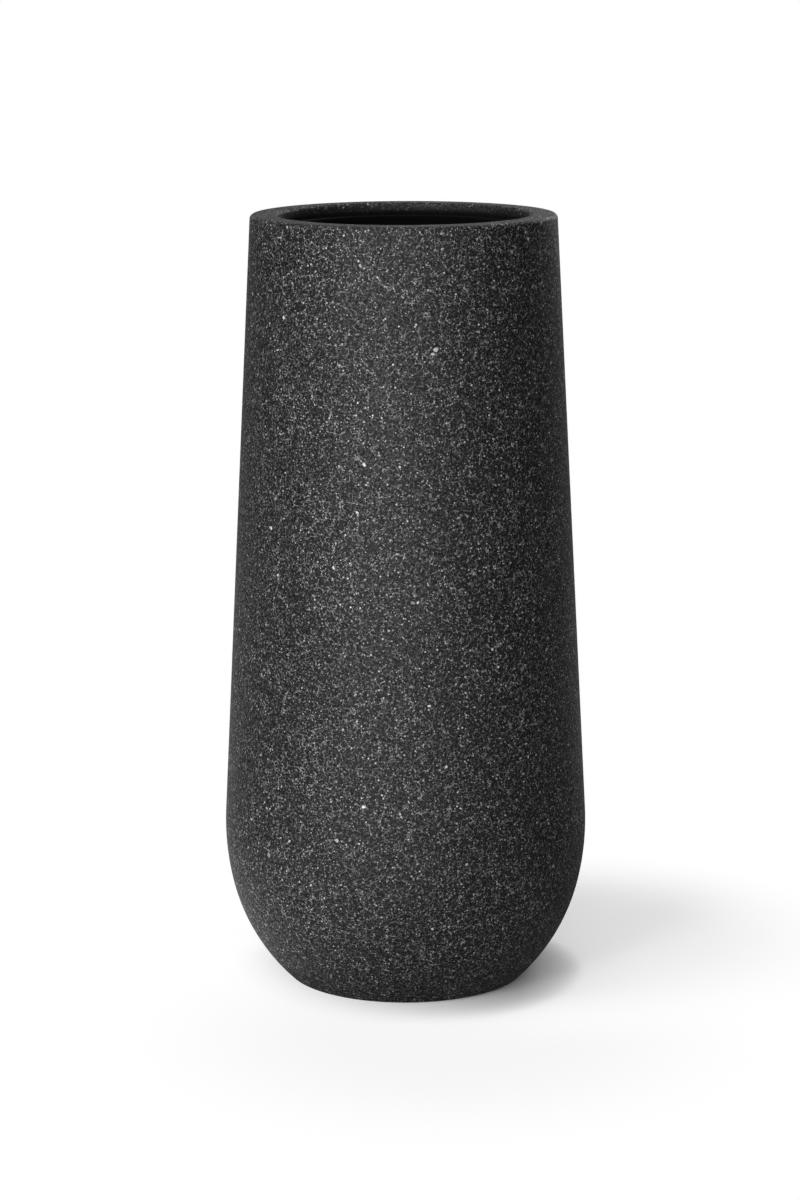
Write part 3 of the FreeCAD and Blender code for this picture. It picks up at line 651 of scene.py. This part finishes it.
def flat_part(tree, place):
    """The X, Y and Z of a place, and the vector to it that lies level."""
    spot = put(tree, "ShaderNodeSeparateXYZ", {0: place}).outputs
    return spot, put(tree, "ShaderNodeCombineXYZ", {"X": spot["X"], "Y": spot["Y"]}).outputs[0]


def raise_grain(tree, skin, height, strength, depth):
    """Bumps a finish by a height from 0 to 1 times a depth in metres."""
    feeds = {"Strength": strength, "Distance": depth, "Height": height}
    tree.links.new(put(tree, "ShaderNodeBump", feeds).outputs[0], skin.inputs["Normal"])


def cool_grey(tree, tone, red_green=1.0):
    """A grey of a given tone with a trace of blue."""
    warm = calc(tree, "MULTIPLY", tone, red_green)
    feeds = {0: warm, 1: warm, 2: calc(tree, "MULTIPLY", tone, BLUE_TRACE)}
    return put(tree, "ShaderNodeCombineColor", feeds).outputs[0]


print("stone pattern ready")

# %% [markdown]
# The tone is the ground plus the weighted lines, arcs and specks. They get stronger and weaker in patches,
# as the grains do when a mould is filled. The same parts stand a little proud and are a little smoother
# than the ground, so they also drive the bump and the roughness. Mica and quartz flash like small mirrors,
# so half of the tone is given to a metal-like reflection, which makes the lines glint in the pale band and
# sink into the dark beside it. Inside the mouth the stone is darker downwards, which is painted shade, and
# it is bare, with fainter specks, because the fine facing coat of a cast pot ends at the rim.

# %% Stone composite
# Curls: how many to a metre and how far they push, in metres
CURLS, LOOSE_CURLS = (330.0, 3.2 * MM), (150.0, 7.0 * MM)
# Lines: cells to a metre, half width, seed; then the cloud that breaks them: scale, seed, from and to
WIDE_LINES = (255.0, 0.17 * MM, 0.0, 370.0, 3.1, 0.45, 0.57)
TIGHT_LINES = (370.0, 0.13 * MM, 5.0, 400.0, 9.7, 0.45, 0.57)
ARCS = (110.0, 0.26 * MM, 8.0, 150.0, 6.1, 0.52, 0.60)
GLINT_CLOUD, GLINT_LIMITS, GLINT_RANGE = (400.0, 0.0, 1.9), (0.30, 0.72), (0.2, 1.8)
# Specks: cells to a metre, size in its cell, share of the cells, power that dims most of them, seed
DOTS, GRAINS = (460.0, 0.34, 0.24, 2.6, 0.0), (250.0, 0.28, 0.12, 1.6, 2.0)
PATCH_CLOUD, PATCH_LIMITS, PATCH_RANGE = (24.0, 1.0, 2.2), (0.35, 0.65), (0.93, 1.07)
GRIT_CLOUD, GRIT_LIMITS, GROUND_TONES = (420.0, 2.0, 5.2), (0.28, 0.72), (0.001, 0.020)
LINE_TONE, ARC_TONE, SPECK_TONE, GRAIN_TONE = 0.33, 0.42, 3.2, 3.6
PALEST, RED_GREEN = 0.85, 0.992
# Relief and shine
PALE_RELIEF, RELIEF_STRENGTH, RELIEF_DEPTH = 0.6, 0.7, 0.9 * MM
MATT_LIMITS, MATT_RANGE, PALE_POLISH = (0.35, 0.65), (0.70, 0.48), 0.15
STONE_SPECULAR, MINERAL_GLINT = 0.46, 0.5
# Inside of the mouth: where it starts, how far down and how deep its painted shade darkens it, and the look
# of the bare stone
MOUTH_EDGE, MOUTH_SHADE_DEPTH, DEEPEST_MOUTH_SHADE = 0.5 * MM, 0.8 * FLANGE_DROP, 0.05
BARE_DEPTH, BARE_PALE, BARE_GROUND = 4 * MM, 0.4, 0.035


def mouth_shade(tree, place):
    """The painted shade of the stone, falling from 1 down the inside of the mouth, and where it is bare
    there.
    """
    spot, flat = flat_part(tree, place)
    radius = vector(tree, "LENGTH", flat)["Value"]
    below = calc(tree, "SUBTRACT", HEIGHT, spot["Z"])
    middle = calc(tree, "MULTIPLY_ADD", below, math.tan(TAPER), RIM_RADIUS - WALL / 2)
    inside = product(tree, calc(tree, "LESS_THAN", radius, middle),
                     calc(tree, "GREATER_THAN", spot["Z"], BELLY_TOP))
    # Painted shade: the stone gets darker the deeper down the inside of the mouth
    sinking_shade = ramp(tree, below, MOUTH_EDGE, MOUTH_SHADE_DEPTH, 0.0, 1.0 - DEEPEST_MOUTH_SHADE, smooth=False)
    bare = product(tree, ramp(tree, below, MOUTH_EDGE, BARE_DEPTH), inside)
    return calc(tree, "SUBTRACT", 1.0, product(tree, sinking_shade, inside)), bare


def broken_walls(tree, place, space, scale, half_width, seed, cloud_scale, cloud_seed, low, high):
    """Cell walls of a bent space, broken into short curls by a cloud."""
    return product(tree, cell_walls(tree, space, scale, half_width, seed),
                   ramp(tree, cloud(tree, place, cloud_scale, 1.0, cloud_seed), low, high))


def pale_minerals(tree, place):
    """How pale the lines, specks, grains and arcs make each place."""
    bent = bent_space(tree, place, *CURLS)
    loose = bent_space(tree, place, *LOOSE_CURLS)
    wide = broken_walls(tree, place, bent, *WIDE_LINES)
    tight = broken_walls(tree, place, bent, *TIGHT_LINES)
    arcs = broken_walls(tree, place, loose, *ARCS)
    glint = ramp(tree, cloud(tree, place, *GLINT_CLOUD), *GLINT_LIMITS, *GLINT_RANGE)
    lines = product(tree, calc(tree, "MAXIMUM", wide, tight), glint)
    dots, grains = specks(tree, place, *DOTS), specks(tree, place, *GRAINS)
    patch = ramp(tree, cloud(tree, place, *PATCH_CLOUD), *PATCH_LIMITS, *PATCH_RANGE)
    pale = weighted_sum(tree, (lines, LINE_TONE), (dots, SPECK_TONE), (grains, GRAIN_TONE))
    return weighted_sum(tree, (pale, patch), (arcs, ARC_TONE))


def make_stone():
    finish, tree, skin = new_finish("stone_composite")
    place = put(tree, "ShaderNodeTexCoord").outputs["Object"]
    pale = pale_minerals(tree, place)
    grit = cloud(tree, place, *GRIT_CLOUD)
    ground = ramp(tree, grit, *GRIT_LIMITS, *GROUND_TONES)
    shade, bare = mouth_shade(tree, place)
    coated = calc(tree, "MULTIPLY_ADD", bare, BARE_PALE - 1.0, 1.0)
    tone = weighted_sum(tree, (pale, coated), (bare, BARE_GROUND), (ground, 1.0))
    # The tone is darkened by the painted shade of the mouth
    tone = product(tree, calc(tree, "MINIMUM", tone, PALEST), shade)
    tree.links.new(cool_grey(tree, tone, RED_GREEN), skin.inputs["Base Color"])

    height = weighted_sum(tree, (grit, 1.0), (pale, PALE_RELIEF))
    raise_grain(tree, skin, height, RELIEF_STRENGTH, RELIEF_DEPTH)
    matt = ramp(tree, grit, *MATT_LIMITS, *MATT_RANGE)
    matt = calc(tree, "SUBTRACT", matt, product(tree, pale, PALE_POLISH), clamp=True)
    rough = ramp(tree, shade, DEEPEST_MOUTH_SHADE, 1.0, 1.0, 0.0, smooth=False)
    tree.links.new(calc(tree, "MAXIMUM", matt, rough), skin.inputs["Roughness"])
    skin.inputs["Specular IOR Level"].default_value = STONE_SPECULAR
    skin.inputs["Metallic"].default_value = MINERAL_GLINT
    return finish


stone = make_stone()
print("stone finish has", len(stone.node_tree.nodes), "nodes")

# %% [markdown]
# ## The body
#
# Now the section, the turning tree and the stone come together. A mould gives the real body its round form
# in one go, and so does the tree. It takes so many steps round that the rim has no flats even close up.
# The result rides on the standing body of the motion model and takes the place of the solid shell.

# %% Turn the body
ROUND_STEPS, CORNER_ROUND_STEPS = 256, 7
PAD_RING, FIRST_PAD_DEG = foot_radius - FOOT_WIDTH / 2, 45

body = section_object("stone_body", section)
shape_by_tree(body, turner, turner_keys, {
    "Steps round": ROUND_STEPS, "Steps in a round": CORNER_ROUND_STEPS, "Finish": stone,
    "Hole count": PAD_COUNT, "Hole radius": PAD_RADIUS + PAD_GAP, "Hole ring radius": PAD_RING,
    "Hole middle height": FOOT_HEIGHT, "Hole depth": 2 * SOCKET_DEPTH,
    "First hole angle": math.radians(FIRST_PAD_DEG)})
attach(body, "body")
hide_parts("planter_shell")
print("body: %d faces, %.3f litres of stone" % (len(body.data.polygons), volume_of(body.data)))

# %% [markdown]
# ## Mineral flecks in the face of the stone
#
# Here and there a larger grain of pale mineral lies open in the face of the stone and stands a hair
# proud of it. A texture could show them flat, but real grains catch the light on their own curved faces,
# and they stay sharp however near one looks. A geometry tree strews points over the outside of the body
# with a fixed seed, sets a flattened grain on each with its own length, width and turn, sinks it in, and
# roughens it with noise. Each grain also carries a number for how pale it is.

# %% Finish of the flecks
FLECK_CLOUD, FLECK_LIMITS = (1500.0, 2.0, 1.3), (0.3, 0.7)
FLECK_CLOUDING, FLECK_ROUGHNESS = (0.75, 1.15), (0.50, 0.36)
FLECK_RELIEF, FLECK_RELIEF_DEPTH, FLECK_SPECULAR = 0.3, 0.2 * MM, 0.5


def make_fleck_finish():
    finish, tree, skin = new_finish("pale_mineral")
    own = put(tree, "ShaderNodeAttribute", attribute_type="GEOMETRY", attribute_name="paleness")
    place = put(tree, "ShaderNodeTexCoord").outputs["Object"]
    cloudy = cloud(tree, place, *FLECK_CLOUD)
    tone = product(tree, own.outputs["Fac"], ramp(tree, cloudy, *FLECK_LIMITS, *FLECK_CLOUDING))
    tree.links.new(cool_grey(tree, tone), skin.inputs["Base Color"])
    tree.links.new(ramp(tree, cloudy, *FLECK_LIMITS, *FLECK_ROUGHNESS), skin.inputs["Roughness"])
    raise_grain(tree, skin, cloudy, FLECK_RELIEF, FLECK_RELIEF_DEPTH)
    skin.inputs["Specular IOR Level"].default_value = FLECK_SPECULAR
    return finish


pale_mineral = make_fleck_finish()
print("fleck finish has", len(pale_mineral.node_tree.nodes), "nodes")

# %% [markdown]
# The tree below picks only faces that look outwards, between the foot and the rim. Most flecks are small
# and few are large, because a random number raised to a high power is nearly always close to 0. The noise
# that roughens the flecks reads the place of each point, so no two of them are alike.

# %% Geometry tree that strews the flecks
# A ball one unit across, so that its scale is its size
BALL_RADIUS = 0.5
FLECK_SEGMENTS, FLECK_RINGS = 8, 5
FLECK_POINTS = FLECK_SEGMENTS * (FLECK_RINGS - 1) + 2
LENGTH_SEED, WIDTH_SEED, TURN_SEED, TONE_SEED = 11, 12, 13, 14
LENGTH_POWER, FLECK_WIDTHS = 5.0, (0.45, 0.95)
PALENESS_POWER, FLECK_PALENESS = 1.6, (0.12, 0.90)
OUTWARD_LIMIT, FLECK_SUNK = 0.3, 0.25
FLECK_LUMPS = (900.0, 0.5 * MM)
FLECK_SETTINGS = {
    "Flecks on a square metre": 1900.0, "Seed": 7, "Shortest": 1.1 * MM, "Longest": 5.0 * MM,
    "Thickness": 0.6 * MM, "Lowest place": 12 * MM, "Highest place": 792 * MM, "Finish": pale_mineral,
}


def chance(tree, low, high, seed):
    """A random number for each point, between two limits."""
    feeds = {2: low, 3: high, "Seed": seed}
    return put(tree, "FunctionNodeRandomValue", feeds, data_type="FLOAT").outputs[1]


def fleck_places(tree, given, place):
    """Points strewn over the outside of the body, sunk in a little, and the turn of the face at each."""
    facing = put(tree, "GeometryNodeInputNormal").outputs[0]
    spot, flat = flat_part(tree, place)
    outward = vector(tree, "DOT_PRODUCT", facing, vector(tree, "NORMALIZE", flat)[0])["Value"]
    allowed = product(tree, calc(tree, "GREATER_THAN", outward, OUTWARD_LIMIT),
                      calc(tree, "GREATER_THAN", spot["Z"], given["Lowest place"]),
                      calc(tree, "LESS_THAN", spot["Z"], given["Highest place"]))
    strewn = put(tree, "GeometryNodeDistributePointsOnFaces", {
        "Mesh": given["Geometry"], "Selection": allowed, "Density": given["Flecks on a square metre"],
        "Seed": given["Seed"]}).outputs
    sink = vector(tree, "SCALE", strewn["Normal"], scale=product(tree, given["Thickness"], -FLECK_SUNK))[0]
    points = put(tree, "GeometryNodeSetPosition", {"Geometry": strewn["Points"], "Offset": sink})
    return points.outputs[0], strewn["Rotation"]


def laid_flecks(tree, given, points, way):
    """A flattened grain on each point, with its own length, width, turn and paleness."""
    rare = calc(tree, "POWER", chance(tree, 0.0, 1.0, LENGTH_SEED), LENGTH_POWER)
    length = put(tree, "ShaderNodeMapRange", {
        0: rare, 3: given["Shortest"], 4: given["Longest"]}).outputs[0]
    width = product(tree, length, chance(tree, *FLECK_WIDTHS, WIDTH_SEED))
    size = put(tree, "ShaderNodeCombineXYZ", {"X": length, "Y": width, "Z": given["Thickness"]})
    turn = put(tree, "ShaderNodeCombineXYZ", {"Z": chance(tree, 0.0, math.tau, TURN_SEED)})
    turn = put(tree, "FunctionNodeEulerToRotation", {0: turn.outputs[0]})
    way = put(tree, "FunctionNodeRotateRotation", {
        "Rotation": way, "Rotate By": turn.outputs[0]}, rotation_space="LOCAL")
    grain = put(tree, "GeometryNodeMeshUVSphere", {
        "Segments": FLECK_SEGMENTS, "Rings": FLECK_RINGS, "Radius": BALL_RADIUS})
    laid = put(tree, "GeometryNodeInstanceOnPoints", {
        "Points": points, "Instance": grain.outputs["Mesh"], "Rotation": way.outputs[0],
        "Scale": size.outputs[0]})
    pale = calc(tree, "POWER", chance(tree, 0.0, 1.0, TONE_SEED), PALENESS_POWER)
    pale = ramp(tree, pale, 0.0, 1.0, *FLECK_PALENESS, smooth=False)
    laid = put(tree, "GeometryNodeStoreNamedAttribute", {
        "Geometry": laid.outputs[0], "Name": "paleness", "Value": pale},
        data_type="FLOAT", domain="INSTANCE")
    return put(tree, "GeometryNodeRealizeInstances", {"Geometry": laid.outputs[0]}).outputs[0]


def fleck_tree():
    tree, given, keys = new_tree("strew_flecks", {
        "Flecks on a square metre": "NodeSocketFloat", "Seed": "NodeSocketInt",
        "Shortest": "NodeSocketFloat", "Longest": "NodeSocketFloat", "Thickness": "NodeSocketFloat",
        "Lowest place": "NodeSocketFloat", "Highest place": "NodeSocketFloat",
        "Finish": "NodeSocketMaterial"})
    place = put(tree, "GeometryNodeInputPosition").outputs[0]
    whole = laid_flecks(tree, given, *fleck_places(tree, given, place))
    rough = {"Geometry": whole, "Offset": push(tree, place, *FLECK_LUMPS)}
    whole = put(tree, "GeometryNodeSetPosition", rough).outputs[0]
    close_tree(tree, whole, given["Finish"])
    return tree, keys


flecks = new_object("mineral_flecks", body.data.copy())
shape_by_tree(flecks, *fleck_tree(), FLECK_SETTINGS)
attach(flecks, "body")
fleck_count = len(flecks.data.vertices) // FLECK_POINTS
print("flecks: %d grains, %d faces" % (fleck_count, len(flecks.data.polygons)))

# %% [markdown]
# Chance alone seldom puts two big grains side by side, but this pot has such a pair high on its flank, a
# little right of the middle. Strewing with another seed would not find it, so the pair is set one by one:
# each grain is a ball squeezed to size, laid against the slope of the flank and made lumpy with noise.

# %% Two grains set one by one
HAND_SET_GRAINS = [
    # Degrees round from the front; height, length, width and thickness in millimetres; turn in degrees
    (10.9, 681.0, 5.8, 4.0, 1.5, 20.0),
    (9.8, 676.6, 4.8, 2.8, 1.3, -8.0),
]
GRAIN_PALENESS, GRAIN_SUNK, GRAIN_FINENESS = 0.54, 0.2, 3
GRAIN_LUMPS, LUMPS_TO_A_METRE = 0.5 * MM, 450.0


def set_grains():
    build = bmesh.new()
    for azimuth, height, length, width, thick, turn in HAND_SET_GRAINS:
        flank = RIM_RADIUS + (HEIGHT - height * MM) * math.tan(TAPER)
        place = Matrix.Rotation(math.radians(azimuth - 90.0), 4, "Z")
        place = place @ Matrix.Translation((flank - GRAIN_SUNK * thick * MM, 0.0, height * MM))
        place = place @ Matrix.Rotation(-TAPER, 4, "Y") @ Matrix.Rotation(math.radians(turn), 4, "X")
        place = place @ Matrix.Diagonal((thick * MM, length * MM, width * MM, 1.0))
        ball = bmesh.ops.create_icosphere(
            build, subdivisions=GRAIN_FINENESS, radius=BALL_RADIUS, matrix=place)
        for point in ball["verts"]:
            point.co += GRAIN_LUMPS * noise.noise_vector(point.co * LUMPS_TO_A_METRE)
    mesh = bpy.data.meshes.new("hand_set_grains")
    build.to_mesh(mesh)
    build.free()
    mesh.shade_smooth()
    tone = mesh.attributes.new("paleness", "FLOAT", "POINT")
    tone.data.foreach_set("value", [GRAIN_PALENESS] * len(mesh.vertices))
    mesh.materials.append(pale_mineral)
    return new_object("hand_set_grains", mesh)


grains = set_grains()
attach(grains, "body")
print("hand-set grains: %d faces, %.6f litres" % (len(grains.data.polygons), volume_of(grains.data)))

# %% [markdown]
# ## Black plastic, steel and rubber
#
# The liner, its wire handles, the drain plug and the pads keep the shapes of the solid model, which are
# exact. They only need finishes. The liner is moulded in black plastic with a fine grain and faint draw
# marks down its wall. Its flange and upper band are matt and darker, a painted shade so that they disappear
# in the mouth, and the wall below has a slight sheen.

# %% Black plastic
# Where the upper band turns matt and darker, the darkness being painted shade for the mouth
MATT_SHADE_FROM, MATT_SHADE_FULL, MATT_ROUGHNESS = 760 * MM, 777 * MM, 0.97
MOULD_GRAIN, DRAW_MARKS, DRAW_STRETCH = (900.0, 3.0, 0.4), (260.0, 2.0, 2.9), (1.0, 1.0, 0.04)
GRAIN_SHARE, MARK_SHARE = 0.6, 0.4
# The wall's own black, and the darker black of the upper band, which is painted shade
SHEEN_TONES, SHADED_BAND_TONES = (0.009, 0.017), (0.0007, 0.0016)
GRAIN_LIMITS, PLASTIC_ROUGHNESS, PLASTIC_SPECULAR = (0.3, 0.7), (0.40, 0.54), 0.14
FAINT_RELIEF, PLASTIC_RELIEF_DEPTH = 0.3, 0.2 * MM


def make_plastic():
    finish, tree, skin = new_finish("black_plastic")
    place = put(tree, "ShaderNodeTexCoord").outputs["Object"]
    level = put(tree, "ShaderNodeSeparateXYZ", {0: place}).outputs["Z"]
    matt = ramp(tree, level, MATT_SHADE_FROM, MATT_SHADE_FULL)
    grain = cloud(tree, place, *MOULD_GRAIN)
    marks = cloud(tree, vector(tree, "MULTIPLY", place, DRAW_STRETCH)[0], *DRAW_MARKS)
    mixed = weighted_sum(tree, (grain, GRAIN_SHARE), (marks, MARK_SHARE))
    sheen = tint(tree, mixed, *map(grey, SHEEN_TONES))
    shaded_band = tint(tree, mixed, *map(grey, SHADED_BAND_TONES))
    # Painted shade: the upper band takes the darker black, besides being matt
    tree.links.new(tint(tree, matt, sheen, shaded_band), skin.inputs["Base Color"])
    smooth = ramp(tree, mixed, *GRAIN_LIMITS, *PLASTIC_ROUGHNESS)
    rough = calc(tree, "MAXIMUM", smooth, product(tree, matt, MATT_ROUGHNESS))
    tree.links.new(rough, skin.inputs["Roughness"])
    raise_grain(tree, skin, mixed, FAINT_RELIEF, PLASTIC_RELIEF_DEPTH)
    skin.inputs["Specular IOR Level"].default_value = PLASTIC_SPECULAR
    return finish


plastic = make_plastic()
print("plastic finish has", len(plastic.node_tree.nodes), "nodes")

# %% [markdown]
# The wire is drawn steel, and the plug and pads are rubber. One recipe serves both: a fine noise varies
# the colour a little and the roughness more, and raises a faint grain.

# %% Plain finishes
PLAIN_RELIEF_DEPTH = 0.1 * MM


def make_plain(name, tones, scale, roughness, shine=0.5, metal=0.0):
    finish, tree, skin = new_finish(name)
    place = put(tree, "ShaderNodeTexCoord").outputs["Object"]
    grain = put(tree, "ShaderNodeTexNoise", {"Vector": place, "Scale": scale, "Detail": 3.0}).outputs[0]
    tree.links.new(tint(tree, grain, *map(grey, tones)), skin.inputs["Base Color"])
    tree.links.new(ramp(tree, grain, *GRAIN_LIMITS, *roughness), skin.inputs["Roughness"])
    raise_grain(tree, skin, grain, FAINT_RELIEF, PLAIN_RELIEF_DEPTH)
    skin.inputs["Specular IOR Level"].default_value = shine
    skin.inputs["Metallic"].default_value = metal
    return finish


steel = make_plain("drawn_steel", (0.42, 0.55), 700.0, (0.25, 0.38), metal=1.0)
rubber = make_plain("dull_rubber", (0.008, 0.016), 600.0, (0.70, 0.85), shine=0.3)
finishes = {"liner_pot": plastic, "lift_handle_left": steel, "lift_handle_right": steel, "drain_plug": rubber}
finishes.update(("foot_pad_%d" % (i + 1), rubber) for i in range(PAD_COUNT))
for node, finish in finishes.items():
    frame["nodes"][node].data.materials.clear()
    frame["nodes"][node].data.materials.append(finish)
print("finishes assigned")
